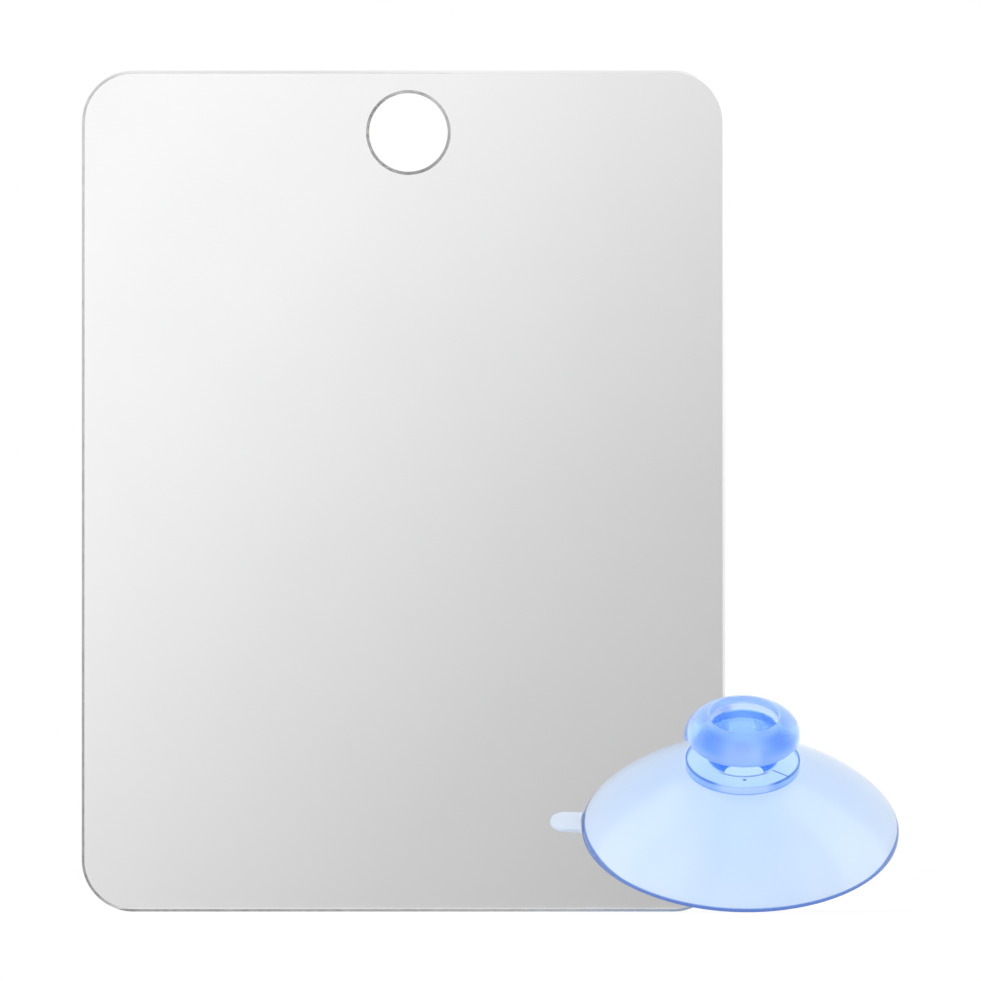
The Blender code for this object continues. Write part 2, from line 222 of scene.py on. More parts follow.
class Recipe:
    """A material or world under construction: its nodes, and the wires between them."""

    def __init__(self, name, shelf=None):
        self.made = (bpy.data.materials if shelf is None else shelf).new(name)
        self.made.use_nodes = True
        self.tree = self.made.node_tree
        self.tree.nodes.clear()

    def add(self, kind, settings=None, inputs=None, output=0):
        """A node of a type with its settings and its sockets' values or wires, as one output."""
        node = self.tree.nodes.new(kind)
        for key, value in (settings or {}).items():
            if key == "stops":
                ramp = node.color_ramp
                for place, tone in value[1:-1]:
                    ramp.elements.new(place).color = tone
                ramp.elements[0].position, ramp.elements[0].color = value[0]
                ramp.elements[-1].position, ramp.elements[-1].color = value[-1]
            else:
                setattr(node, key, value)
        for key, value in (inputs or {}).items():
            if isinstance(value, Wire):
                self.tree.links.new(value.socket, node.inputs[key])
            elif value is not None:
                node.inputs[key].default_value = value
        return Wire(self, node.outputs[output]) if node.outputs else None

    def place(self):
        """The Object coordinates of a point, in metres."""
        return self.add("ShaderNodeTexCoord", output="Object")

    def mark(self, name):
        """A mark that the mesh carries, as a vector."""
        return self.add("ShaderNodeAttribute", {"attribute_name": name}, output="Vector")

    def parts(self, vector):
        """The three numbers of a vector."""
        node = self.tree.nodes.new("ShaderNodeSeparateXYZ")
        self.tree.links.new(vector.socket, node.inputs[0])
        return [Wire(self, socket) for socket in node.outputs]

    def noise(self, vector, scale, detail=2.0):
        """Cloudy noise about 0.5, with a number of cells a metre."""
        inputs = {"Vector": vector, "Scale": scale, "Detail": detail}
        return self.add("ShaderNodeTexNoise", None, inputs)

    def mix(self, factor, low, high):
        """One colour turning into another by a factor."""
        inputs = {0: factor, 6: low, 7: high}
        return self.add("ShaderNodeMix", {"data_type": "RGBA"}, inputs, output=2)

    def bump(self, height, distance):
        """A normal that follows a height of 0 to 1 over a distance in metres."""
        return self.add("ShaderNodeBump", None, {"Height": height, "Distance": distance})

    def seen(self):
        """How many of three kinds a ray is: from the camera, off a gloss, or through glass."""
        kinds = ("Is Camera Ray", "Is Glossy Ray", "Is Transmission Ray")
        direct, mirrored, through = (self.add("ShaderNodeLightPath", output=k) for k in kinds)
        return direct + mirrored + through

    def finish(self, inputs, blended=False, absorbed=None):
        """Close the recipe with a Principled shader, and with what a clear body swallows."""
        ends = {"Surface": self.add("ShaderNodeBsdfPrincipled", None, inputs)}
        if absorbed:
            ends["Volume"] = self.add("ShaderNodeVolumeAbsorption", None, absorbed)
        self.add("ShaderNodeOutputMaterial", None, ends)
        if blended:
            self.made.surface_render_method = "BLENDED"
        return self.made

    def glow(self, tone, strength=1.0):
        """Close the recipe with an even glow."""
        shader = self.add("ShaderNodeEmission", None, {"Color": tone, "Strength": strength})
        self.add("ShaderNodeOutputMaterial", None, {"Surface": shader})
        return self.made


def toned(rgb, factor=1.0):
    """A colour with full alpha, darker or lighter by a factor."""
    return (*(min(1.0, factor * part) for part in rgb), 1.0)


# Surfaces


def grid_faces(rows, columns, loop_rows, loop_columns):
    """The quads between neighbouring points of a grid, which may close on itself either way."""
    row = np.arange(rows if loop_rows else rows - 1)
    column = np.arange(columns if loop_columns else columns - 1)
    a, b = np.meshgrid(row, column, indexing="ij")
    c, d = (a + 1) % rows, (b + 1) % columns
    corners = [a * columns + b, c * columns + b, c * columns + d, a * columns + d]
    return np.stack(corners, axis=-1).reshape(-1, 4)


def surface(name, points, loop_rows, loop_columns):
    """An object from a grid of points, with its doubles merged and its faces turned outwards."""
    mesh = bpy.data.meshes.new(name)
    faces = grid_faces(points.shape[0], points.shape[1], loop_rows, loop_columns)
    mesh.from_pydata(points.reshape(-1, 3).tolist(), [], faces.tolist())
    bm = bmesh.new()
    bm.from_mesh(mesh)
    bmesh.ops.remove_doubles(bm, verts=bm.verts, dist=1e-7)
    bmesh.ops.recalc_face_normals(bm, faces=bm.faces)
    bm.to_mesh(mesh)
    bm.free()
    made = bpy.data.objects.new(name, mesh)
    bpy.context.scene.collection.objects.link(made)
    return made


def smooth(piece, degrees=35.0):
    """Shade a piece smooth, but for the edges that turn by more than an angle."""
    piece.data.shade_smooth()
    piece.data.set_sharp_from_angle(angle=math.radians(degrees))
    return piece


def arc(centre, reach, start, end, count):
    """Points on an ellipse's arc: its middle, its two half axes and its end angles in degrees."""
    turn = np.radians(np.linspace(start, end, count))
    return np.stack([centre[0] + reach[0] * np.cos(turn), centre[1] + reach[1] * np.sin(turn)], -1)


def rounded(before, tip, after, reach, count=6):
    """A corner rounded by the quadratic curve that leaves both its legs at the same reach."""
    before, tip, after = (np.array(p, float) for p in (before, tip, after))
    start = tip + (before - tip) / np.linalg.norm(before - tip) * reach
    end = tip + (after - tip) / np.linalg.norm(after - tip) * reach
    t = np.linspace(0.0, 1.0, count)[:, None]
    return (1 - t) ** 2 * start + 2 * t * (1 - t) * tip + t**2 * end


# The cup's own frame: its rim's middle, two axes in the rim's plane, and the stem's axis

PRESS = JOINTS["stem_press"]
CUP_MIDDLE = np.array(PRESS["deforming_nodes"][0]["fixed_end_m"])
CUP_UP = -np.array(PRESS["axis"]) / np.linalg.norm(PRESS["axis"])
CUP_SIDE = np.cross((0.0, 0.0, 1.0), CUP_UP) / np.linalg.norm(np.cross((0.0, 0.0, 1.0), CUP_UP))
CUP_AXES = np.stack([CUP_SIDE, np.cross(CUP_UP, CUP_SIDE), CUP_UP])
TAB_HINGE = np.array(JOINTS["tab_lift"]["pos_m"])


def from_cup(local):
    """Points of the cup's frame as points in space."""
    return CUP_MIDDLE + local @ CUP_AXES


def to_cup(points):
    """Points in space as points of the cup's frame."""
    return (points - CUP_MIDDLE) @ CUP_AXES.T


def turned(name, profile, steps):
    """A profile of radius and height turned about the stem's axis."""
    angle = np.linspace(0.0, 2 * np.pi, steps, endpoint=False)[:, None]
    radius, height = profile[:, 0][None], profile[:, 1][None]
    local = np.stack(
        [radius * np.cos(angle), radius * np.sin(angle), height + 0 * angle], axis=-1
    )
    return surface(name, from_cup(local), True, False)


def mark_cup_points(piece):
    """Give each point of a piece its place in the cup's frame, in millimetres."""
    mesh = piece.data
    points = np.empty(len(mesh.vertices) * 3, np.float32)
    mesh.vertices.foreach_get("co", points)
    local = to_cup(points.reshape(-1, 3).astype(float)) / MM
    kept = mesh.attributes.new("cup_point", "FLOAT_VECTOR", "POINT")
    kept.data.foreach_set("vector", local.astype(np.float32).ravel())


# The plate


def plate_outline(width, height, radius, hole, count):
    """The plate's outline and the hole's circle at the same angles about the hole's middle.

    The outline is four straight sides and four quarter circles. Angles come from an even spread
    and from every corner's own points, so that both the far corners and the hole stay round. A
    corner is worked out with many points, and every 60th of them is kept.
    """
    fine, kept = 2000, 60
    half, low, high = width / 2 - radius, radius, height - radius
    centres = [(half, high, 0), (-half, high, 90), (-half, low, 180), (half, low, 270)]
    arcs = [arc((x, z), (radius, radius), t, t + 90, fine) for x, z, t in centres]
    turns = [np.radians(np.linspace(t, t + 90, fine)) for _, _, t in centres]
    line, face = np.concatenate(arcs), np.concatenate(turns)
    angle = np.unwrap(np.arctan2(line[:, 1] - hole[1], line[:, 0] - hole[0]))
    line, face, angle = (np.concatenate([v, v[:1]]) for v in (line, face, angle))
    angle[-1] += 2 * np.pi
    face[-1] += 2 * np.pi
    corners = angle[:-1].reshape(4, -1)[:, ::kept].ravel()
    even = angle[0] + np.linspace(0.0, 2 * np.pi, count, endpoint=False)
    chosen = np.unique(np.round(np.concatenate([corners, even]), 6))
    chosen = chosen[(chosen >= angle[0]) & (chosen < angle[-1])]
    outer = np.stack([np.interp(chosen, angle, line[:, k]) for k in (0, 1)], -1)
    toward = np.interp(chosen, angle, face)
    normal = np.stack([np.cos(toward), np.sin(toward)], -1)
    around = np.stack([np.cos(chosen), np.sin(chosen)], -1)
    return outer, normal, around


def make_sheet(plate):
    """The clear sheet: across it, a loop of side, chamfer, front, hole chamfer, hole and back.

    The mark "worked" tells the cut outline and the bored hole from the clear face, and fades in
    a narrow strip.
    """
    strip = 0.03 * MM
    width, height = SHEET_HIGH.x - SHEET_LOW.x, SHEET_HIGH.z - SHEET_LOW.z
    hole = np.array([plate.hole_side, height - plate.hole_drop])
    outer, normal, around = plate_outline(width, height, plate.corner, hole, 240)
    front, back = SHEET_LOW.y + plate.bond, SHEET_HIGH.y + plate.bond
    edge = outer - plate.chamfer * normal
    mouth = hole + (plate.hole_radius + plate.hole_chamfer) * around
    wall = hole + plate.hole_radius * around
    inner, ring = edge - strip * normal, mouth + strip * around
    clear, cut, bored = (0.0, 0.0, 0.0), (1.0, 0.0, 0.0), (0.0, 1.0, 0.0)
    rows = [(outer, back, cut), (outer, front + plate.chamfer, cut), (edge, front, cut)]
    rows += [(inner + (ring - inner) * t, front, clear) for t in (0.0, 0.3, 0.6, 1.0)]
    rows += [(mouth, front, bored), (wall, front + plate.hole_chamfer, bored), (wall, back, bored)]
    rows += [(wall + (outer - wall) * t, back, clear) for t in (0.25, 0.5, 0.75)]
    points = [np.insert(flat, 1, depth, axis=1) for flat, depth, _ in rows]
    sheet = surface("clear_sheet", np.stack(points, axis=1), True, True)
    marks = np.tile([mark for _, _, mark in rows], (len(outer), 1, 1)).astype(np.float32)
    worked = sheet.data.attributes.new("worked", "FLOAT_VECTOR", "POINT")
    worked.data.foreach_set("vector", marks.ravel())
    return smooth(sheet, 25.0)


def acrylic_finish(plate):
    """Clear polished sheet, with painted shade on its milled edges, most of all round the hole.

    The painted shade in the bevels deepens towards the plate's foot and on its left, and round
    the hole it is lighter on the right. A weak painted glint in them at the top and on the right
    stands for the light they gather from above. A faint smear of wiping on the face changes only
    its gloss.
    """
    recipe = Recipe("polished_acrylic")
    place = recipe.place()
    x, y, z = recipe.parts(place)
    outline, hole, _ = recipe.parts(recipe.mark("worked"))
    left, right, top = SHEET_LOW.x, SHEET_HIGH.x, SHEET_HIGH.z
    bevel = y.step(-0.1 * MM, -0.25 * MM)
    foot = 1.0 - z.step(plate.chamfer - 0.1 * MM, plate.chamfer + 0.2 * MM)
    # Painted shade on the milled bevels: darker lower down the plate, at its foot and on its left
    foot_shade = 0.365 - 4.2 * x - 0.35 * x.step(20 * MM, 50 * MM)
    left_shade = 0.56 * x.step(left + 10 * MM, left + 3 * MM)
    outline_shade = (top - z) * 1.6 + left_shade + foot * foot_shade
    across = (x - plate.hole_side) / plate.hole_radius
    # Painted shade round the hole's bevel, lighter on its right and darker on its left
    hole_shade = 0.83 - 0.24 * across.step(0.3, 0.95) + 0.1 * across.step(-0.3, -0.95)
    # A random tone of the milling varies the painted shade
    milled = 0.9 + 0.2 * recipe.noise(place, 700.0).step(0.3, 0.7)
    edge_shade_and_tone = (outline * outline_shade + hole * hole_shade) * milled
    # A painted glint in the bevels at the top and on the right, for the light they catch from
    # above
    top_light = 0.2 * z.step(top - 12 * MM, top - 5 * MM) * x.step(-30 * MM, 20 * MM)
    right_light = 0.09 * x.step(right - 1.0 * MM, right - 0.4 * MM)
    painted_glint = outline * (top_light + right_light) * bevel
    polish = 0.004 + 0.012 * recipe.noise(place, 60.0, 4.0).step(0.45, 0.75)
    milling = 0.12 * (outline + hole) + 0.5 * foot * outline
    return recipe.finish(
        {
            "Base Color": recipe.mix(edge_shade_and_tone, toned(plate.acrylic), toned(plate.acrylic, 0.08)),
            "Roughness": polish + milling,
            "IOR": 1.49,
            "Transmission Weight": 1.0,
            "Emission Color": recipe.mix(painted_glint, BLACK, WHITE),
            "Emission Strength": 1.0,
        }
    )


def film_finish(plate):
    """Fog-free film: nearly clear, with a faint milky veil that is a little uneven."""
    recipe = Recipe("fogless_film")
    cloud = recipe.noise(recipe.place(), 45.0, 3.0)
    return recipe.finish(
        {
            "Base Color": (0.93, 0.95, 0.96, 1.0),
            "Roughness": 0.22,
            "Alpha": plate.haze * (0.7 + 0.6 * cloud),
        },
        blended=True,
    )


def silver_finish(plate):
    """Silver layer: a bright mirror that dulls by a trace where the coat is thinner."""
    recipe = Recipe("vacuum_silver")
    place = recipe.place()
    thin = recipe.noise(place, 30.0, 3.0).step(0.35, 0.75)
    return recipe.finish(
        {
            "Base Color": recipe.mix(thin, toned(plate.silver), toned(plate.silver, 0.985)),
            "Metallic": 1.0,
            "Roughness": 0.01 + 0.015 * recipe.noise(place, 220.0),
        }
    )


def paint_finish(plate):
    """Sprayed backing paint: fine orange peel, and flecks a little lighter or darker."""
    recipe = Recipe("sprayed_backing_paint")
    place = recipe.place()
    peel = recipe.noise(place, 1400.0, 3.0)
    cloud = recipe.noise(place, 55.0, 4.0)
    fleck = (0.6 * cloud + 0.4 * peel).step(0.3, 0.7)
    return recipe.finish(
        {
            "Base Color": recipe.mix(fleck, toned(plate.paint, 0.86), toned(plate.paint, 1.18)),
            "Roughness": 0.42 + 0.2 * cloud,
            "Normal": recipe.bump(peel, 0.03 * MM),
        }
    )


def dress(node, material):
    """Give a solid that stays its new finish."""
    frame["nodes"][node].material_slots[0].material = material


# The suction cup

CROWN_ROUND = 0.25 * MM
RIM_ROUND = 0.1 * MM
HEAD_FULLNESS = (2.4, 2.2)
NECK_FILLET = 0.3 * MM
COLLAR_ROUND = 0.2 * MM
RECESS_FILLET = 0.6 * MM
RECESS_DISH = 0.3 * MM
TAB_FLARE = 1.8 * MM
TAB_FLARE_TURN = math.radians(40.0)
# A near-black blue, painted as shade on the rim's edge
RIM_SHADE = (0.08, 0.05, 0.17, 1.0)
# A dark blue for the plastic's moulding marks and for painted shade on the stem
MARK_AND_SHADE_TONE = (0.02, 0.05, 0.15, 1.0)


def wall(cup, foot, top, count):
    """A dome wall from its foot to its top, both given as radius and height.

    At a share s of its way in, it has climbed (1 - (1 - s) ** crown power) ** foot power.
    """
    s = np.linspace(0.0, 1.0, count)[:, None] ** (1 / cup.foot_power)
    climb = (1 - (1 - s) ** cup.crown_power) ** cup.foot_power
    foot, top = np.array(foot), np.array(top)
    return foot + (top - foot) * np.concatenate([s, climb], 1)


def dome_profile(cup):
    """The dome from its crown's middle down the outside, under the rim and up the inside."""
    top = cup.dome_height
    contact_out = cup.rim_radius - cup.lip_width
    contact_in = contact_out - cup.contact_width
    outer = wall(cup, (cup.rim_radius, cup.rim_edge), (cup.crown_radius, top), 72)[::-1]
    under = top - cup.crown_wall
    inner = wall(cup, (contact_in, 0.0), (cup.ceiling_radius, under), 60)
    s = np.linspace(1.0, 0.0, 24)
    ceiling = np.stack([cup.ceiling_radius * s, under + cup.ceiling_rise * (1 - s * s)], -1)
    crown = np.stack([np.linspace(0.0, cup.crown_radius, 12), np.full(12, top)], -1)
    rim_low = (cup.rim_radius, cup.lip_rise)
    legs = [
        crown[:-1],
        rounded(crown[-2], outer[0], outer[3], CROWN_ROUND),
        outer[1:],
        rounded(outer[-1], rim_low, (contact_out, 0.0), RIM_ROUND, 5),
        [(contact_out, 0.0), (contact_in, 0.0)],
        inner[1:-1],
        ceiling,
    ]
    return np.concatenate([np.array(leg, float) for leg in legs])


def head_side(cup, middle, height, fullness, radius, count):
    """The head's outside from its widest ring to a radius, along a superellipse.

    Its two shares, radius / widest and rise / height, each to the power fullness, add up to 1.
    """
    last = math.acos((radius / cup.head_radius) ** (fullness / 2))
    turn = np.linspace(0.0, last, count)
    wide, high = np.cos(turn) ** (2 / fullness), np.sin(turn) ** (2 / fullness)
    return np.stack([cup.head_radius * wide, middle + height * high], -1)


def head_middle(cup):
    """The height of the head's widest ring over the rim."""
    shoulder = cup.dome_height + cup.seat + cup.collar_height + cup.groove
    neck = cup.neck_radius + NECK_FILLET
    return shoulder - head_side(cup, 0.0, -cup.head_base, HEAD_FULLNESS[1], neck, 2)[-1, 1]


def stem_profile(cup):
    """The stem from the recess's middle over the lip and the head, down the neck and collar."""
    middle = head_middle(cup)
    lip_radius = cup.recess_radius + cup.lip_rounding
    upper = head_side(cup, middle, cup.head_top, HEAD_FULLNESS[0], lip_radius, 40)
    lip = upper[-1, 1]
    floor = lip - cup.recess_depth
    flat = cup.recess_radius - RECESS_FILLET
    s = np.linspace(0.0, 1.0, 18)
    dish = np.stack([flat * s, floor + RECESS_DISH * (1 - s * s)], -1)
    lip_round, recess_fillet, neck_fillet, collar_round = (
        (reach, reach) for reach in (cup.lip_rounding, RECESS_FILLET, NECK_FILLET, COLLAR_ROUND)
    )
    foot = cup.dome_height + cup.seat
    collar_top = foot + cup.collar_height
    shoulder = collar_top + cup.groove
    neck, rim = cup.neck_radius + NECK_FILLET, cup.collar_radius - COLLAR_ROUND
    lower = head_side(cup, middle, -cup.head_base, HEAD_FULLNESS[1], neck, 36)
    shaft = np.stack([np.full(20, cup.neck_radius), np.linspace(shoulder, collar_top, 20)], -1)
    legs = [
        dish,
        arc((flat, floor + RECESS_FILLET), recess_fillet, -90, 0, 10)[1:],
        arc((lip_radius, lip - cup.lip_rounding), lip_round, 180, 90, 14),
        upper[-2::-1],
        lower[1:],
        arc((neck, shoulder - NECK_FILLET), neck_fillet, 90, 180, 8)[1:],
        shaft[3:-3],
        arc((neck, collar_top + NECK_FILLET), neck_fillet, 180, 270, 8),
        np.stack([np.linspace(neck, rim, 10), np.full(10, collar_top)], -1)[1:-1],
        arc((rim, collar_top - COLLAR_ROUND), collar_round, 90, 0, 8),
        arc((rim, foot + COLLAR_ROUND), collar_round, 0, -90, 8),
        np.stack([np.linspace(rim, 0.0, 10), np.full(10, foot)], -1)[1:],
    ]
    return np.concatenate(legs)


def cross_hole(cup):
    """The core of the cross hole: half an ellipse on a flat sill, drawn through the neck."""
    sill = cup.dome_height + cup.seat + cup.collar_height + cup.hole_sill
    outline = arc((0.0, sill), (cup.hole_width / 2, cup.hole_height), 0, 180, 49)
    reach = cup.neck_radius + 2 * MM
    rings = [np.insert(outline, 1, y, axis=1) for y in (-reach, reach)]
    middle = outline.mean(axis=0)
    caps = [np.tile((middle[0], y, middle[1]), (len(outline), 1)) for y in (-reach, reach)]
    points = np.stack([caps[0], rings[0], rings[1], caps[1]], axis=1)
    return surface("cross_hole_core", from_cup(points), True, False)


def cut_out(piece, core):
    """Take a core's shape out of a piece for good, and remove the core."""
    boolean = piece.modifiers.new("cut", "BOOLEAN")
    boolean.operation = "DIFFERENCE"
    boolean.solver = "EXACT"
    boolean.object = core
    graph = bpy.context.evaluated_depsgraph_get()
    mesh = bpy.data.meshes.new_from_object(piece.evaluated_get(graph))
    piece.modifiers.clear()
    piece.data = mesh
    mesh.name = piece.name
    bpy.data.objects.remove(core)
    return piece


def tab_rings(cup):
    """The tab's outline and the line down its middle, in the hinge's frame.

    The outline starts on the root's arc along the rim, follows one side with a short flare,
    goes round the half-circle end and comes back. Each of its points has a partner on the
    middle line, straight across for the sides and the root.
    """
    half, root = cup.tab_width / 2, cup.rim_radius + cup.tab_gap
    wide = half + TAB_FLARE
    corner = wide - TAB_FLARE * math.cos(TAB_FLARE_TURN)
    spread = math.degrees(math.asin(corner / root))
    along = arc((-root, 0.0), (root, root), spread, -spread, 24)
    foot = along[-1, 0] + TAB_FLARE * math.sin(TAB_FLARE_TURN)
    flare = (TAB_FLARE, TAB_FLARE)
    near = arc((foot, -wide), flare, 90 + math.degrees(TAB_FLARE_TURN), 90, 10)
    tip = cup.tab_length - half
    straight = np.stack([np.linspace(foot, tip, 12), np.full(12, -half)], -1)[1:-1]
    end = arc((tip, 0.0), (half, half), -90, 90, 48)
    side = np.concatenate([near[1:], straight])
    line = np.concatenate([along, side, end, side[::-1] * (1, -1)])
    spine = np.stack([np.clip(line[:, 0], TAB_FLARE / 2, tip), np.zeros(len(line))], -1)
    return line, spine


def make_tab(cup):
    """The pull tab: its outline carried round a rounded edge and drawn in to its middle line."""
    line, spine = tab_rings(cup)
    depth, edge = cup.tab_height, cup.tab_rounding
    inward = spine - line
    inward = inward / np.maximum(np.linalg.norm(inward, axis=1), 1e-9)[:, None]
    rows = []
    for share_in in (1.0, 0.6, 0.3):
        rows.append((line + inward * edge + (spine - line - inward * edge) * share_in, 0.0))
    turn = np.radians(np.linspace(90, 0, 6))
    rows += [(line + inward * edge * (1 - np.cos(t)), -edge * (1 - np.sin(t))) for t in turn]
    rows += [(flat, -depth - height) for flat, height in rows[::-1]]
    local = np.stack([np.insert(flat, 2, height, axis=1) for flat, height in rows], axis=1)
    lift = np.array(JOINTS["tab_lift"]["axis"]) / np.linalg.norm(JOINTS["tab_lift"]["axis"])
    out = np.cross(CUP_UP, lift)
    points = TAB_HINGE + local @ np.stack([out, -lift, CUP_UP])
    return smooth(surface("seal_tab", points, True, False), 50.0)


def plastic_colour(recipe, cup, depth):
    """What a depth of clear blue plastic, in millimetres, lets through: t ** (depth / 5)."""
    red, green, blue = (t ** (depth / 5.0) for t in cup.pvc)
    return recipe.add("ShaderNodeCombineColor", None, {0: red, 1: green, 2: blue})


def dome_finish(cup):
    """Thin milky blue plastic, deeper in colour up the thicker wall and at the rim's edge.

    The dark line of the rim is a little wider at the cup's sides, where the rim is seen along
    its own length; it is partly that deeper colour and partly painted shade where the rim meets
    the wall. The front of the dome is painted a little deeper, as shade.
    """
    recipe = Recipe("pale_blue_pvc")
    x, y, z = recipe.parts(recipe.mark("cup_point"))
    radius = (x * x + y * y) ** 0.5
    rim = cup.rim_radius / MM
    place = recipe.place()
    cloud = recipe.noise(place, 70.0)
    sideways = abs(x / (radius + TINY))
    # The rim's edge: a deeper colour where the rim is seen along its length, and painted shade
    # where it meets the wall, wider at the cup's sides
    edge_height = z - 0.6 * sideways.step(0.75, 1.0)
    edge = radius.step(rim - 0.9, rim - 0.4) * (1.0 - edge_height.step(0.75, 1.1))
    # The front is painted a little deeper, as shade
    front = sideways.step(0.5, 0.22) * y.step(1.0, -1.0)
    depth = 4.0 + 0.14 * z + 1.0 * cloud + 0.6 * front + 18.0 * edge
    return recipe.finish(
        {
            "Base Color": recipe.mix(0.37 * edge, plastic_colour(recipe, cup, depth), RIM_SHADE),
            "Roughness": 0.14 + 0.08 * cloud,
            "IOR": 1.5,
            "Transmission Weight": 0.27,
            "Normal": recipe.bump(recipe.noise(place, 260.0), 0.03 * MM),
        }
    )


def stem_zones(recipe, cup):
    """Where the stem's tint changes: masks of 0 to 1, from a point's place in the cup's frame.

    Heights are over the head's widest ring, or over the collar's foot, and radii are about the
    stem's axis, all in millimetres.
    """
    x, y, z = recipe.parts(recipe.mark("cup_point"))
    radius = (x * x + y * y) ** 0.5
    height = z - head_middle(cup) / MM
    rise = z - (cup.dome_height + cup.seat) / MM
    top, rim, neck = cup.collar_height / MM, cup.collar_radius / MM, cup.neck_radius / MM
    toward = y / (radius + TINY)
    sides = (x * x / (radius * radius + TINY)).step(0.1, 0.35)
    slant = x * y / (radius * radius + TINY)
    zones = {"head": height.step(-2.6, -1.4), "collar": 1.0 - rise.step(top + 0.1, top + 0.2)}
    head, collar = zones["head"], zones["collar"]
    # Four places round the head painted deeper as shade, of which the front two are kept
    shaded_lobes = (4.0 * slant * slant) ** 2.0 * height.step(-0.2, 2.4) * height.step(5.1, 3.4)
    recess = (1.0 - radius.step(6.5, 7.0)) * height.step(-1.0, 0.0)
    zones["recess"] = recess
    zones["shaded_lobes"] = shaded_lobes * y.step(0.5, -3.0) * (1.0 - recess)
    # The near side of the head and its crown are painted deeper as shade, and so is its underside,
    # as the shade under it
    zones["near"] = toward.step(-0.1, -0.7) * head
    zones["crown"] = zones["near"] * height.step(2.0, 4.2) * (1.0 - recess)
    zones["shaded_belly"] = head * height.step(0.6, -1.8)
    # The recess's floor and its far part, painted deeper as shade, and the stipple at its two ends
    base = recess * height.step(2.8, 2.0)
    zones["base"] = base
    zones["far_base"] = base * toward.step(0.1, 0.6) * radius.step(4.2, 6.2)
    grains = recipe.noise(recipe.place(), 2600.0, 0.0).step(0.52, 0.6)
    zones["stipple"] = grains * base * sides * radius.step(3.6, 5.0)
    # The neck in the groove is painted deeper, as the shade under the head
    between = rise.step(top + 0.1, top + 0.4) * (1.0 - head)
    zones["groove"] = between * radius.step(neck - 0.03, neck)
    # The collar's top, painted deeper as the shade under the head, and its edge: lighter as
    # painted light, deeper at both sides as painted shade, with a painted shade line at the foot
    # and a painted shade dash at both sides
    face = collar * rise.step(top - 0.3, top - 0.1)
    edge = radius.step(rim - 0.45, rim - 0.15) * collar
    zones["face"], zones["edge"], zones["edge_sides"] = face, edge, edge * sides
    zones["line"] = edge * (1.0 - rise.step(0.1, 0.4))
    zones["dash"] = edge * rise.step(top - 0.5, top - 0.35) * sides * sides
    # The gate's dot, the parting line, and the shade under the cross hole's sill
    dot = ((x * x + (y + 8.5) * (y + 8.5)) ** 0.5).step(0.4, 0.3)
    seam = abs(0.63 * x + 0.777 * y).step(0.2, 0.1) * x.step(3.0, 5.0)
    sill = radius.step(neck + 0.1, neck + 0.2) * radius.step(neck + 0.5, neck + 0.4)
    zones["dot"] = dot * face
    zones["seam"] = seam * face * radius.step(neck + 0.3, neck + 0.6)
    zones["sill"] = sill * face * y.step(-5.0, -6.0)
    return zones


def stem_finish(cup):
    """Thick clear blue plastic with a little milk in it, with painted shade deepest in the head's
    flanks.

    The body swallows red and green. On top of that the skin is tinted, by depths of plastic in
    millimetres, most of them painted shade: deeper at the front flanks of the head, in the groove
    and on the collar's edge, and nearly clear, as painted light, on the wall of the recess. The
    weak blue glow is painted light, for the light that the milky plastic scatters.
    """
    recipe = Recipe("deep_blue_pvc")
    zones = stem_zones(recipe, cup)
    place = recipe.place()
    cloud = recipe.noise(place, 240.0)
    # Depths in millimetres: the head's small tint, the gate's dot, the parting line and the
    # stipple are the plastic's own; the other zones are painted shade, and painted light where the
    # depth is below zero
    tints_and_shades = {
        "head": 0.2,
        "near": 2.1,
        "crown": 3.5,
        "shaded_lobes": 13.0,
        "shaded_belly": 2.2,
        "recess": -0.9,
        "base": 12.0,
        "far_base": 6.0,
        "stipple": 22.0,
        "groove": 36.0,
        "face": 3.4,
        "edge": -0.8,
        "edge_sides": 8.0,
        "line": 20.0,
        "dash": 14.0,
        "dot": 120.0,
        "seam": 45.0,
    }
    # The dot and the parting line are the plastic's own dark marks; the line, the dash and the
    # sill are painted shade
    marks_and_shades = {"line": 0.4, "dash": 0.6, "dot": 1.0, "seam": 0.85, "sill": 0.8}
    # The near part of the recess is painted lighter, as painted light
    depth = 1.2 + 1.2 * cloud - 1.9 * zones["near"] * zones["recess"]
    depth = sum((tint * zones[name] for name, tint in tints_and_shades.items()), start=depth)
    dark = sum(share_of * zones[name] for name, share_of in marks_and_shades.items())
    # A painted glow, standing for the light that the milky plastic scatters
    glow = zones["head"] + zones["groove"]
    return recipe.finish(
        {
            "Base Color": recipe.mix(dark, plastic_colour(recipe, cup, depth), MARK_AND_SHADE_TONE),
            "Roughness": 0.12 + 0.08 * cloud + 0.14 * zones["near"],
            "IOR": 1.38,
            "Transmission Weight": 0.78,
            "Normal": recipe.bump(recipe.noise(place, 500.0), 0.02 * MM),
            "Emission Color": recipe.mix(glow, (0.2, 0.5, 1.0, 1.0), (0.02, 0.3, 0.8, 1.0)),
            "Emission Strength": 0.1,
        },
        absorbed={"Color": (0.042, 0.439, 0.973, 1.0), "Density": 62.0},
    )


def tab_finish(cup):
    """The same plastic in a thin flat tongue: almost colourless."""
    recipe = Recipe("clear_pvc")
    cloud = recipe.noise(recipe.place(), 300.0)
    return recipe.finish(
        {
            "Base Color": plastic_colour(recipe, cup, 2.2 + 1.0 * cloud),
            "Roughness": 0.15 + 0.08 * cloud,
            "IOR": 1.5,
            "Transmission Weight": 0.35,
        }
    )


# The studio

LAMP_TARGET = (0.03, 0.0, 0.05)
PICTURE_MIDDLE = (0.0176, 0.0, 0.0851)


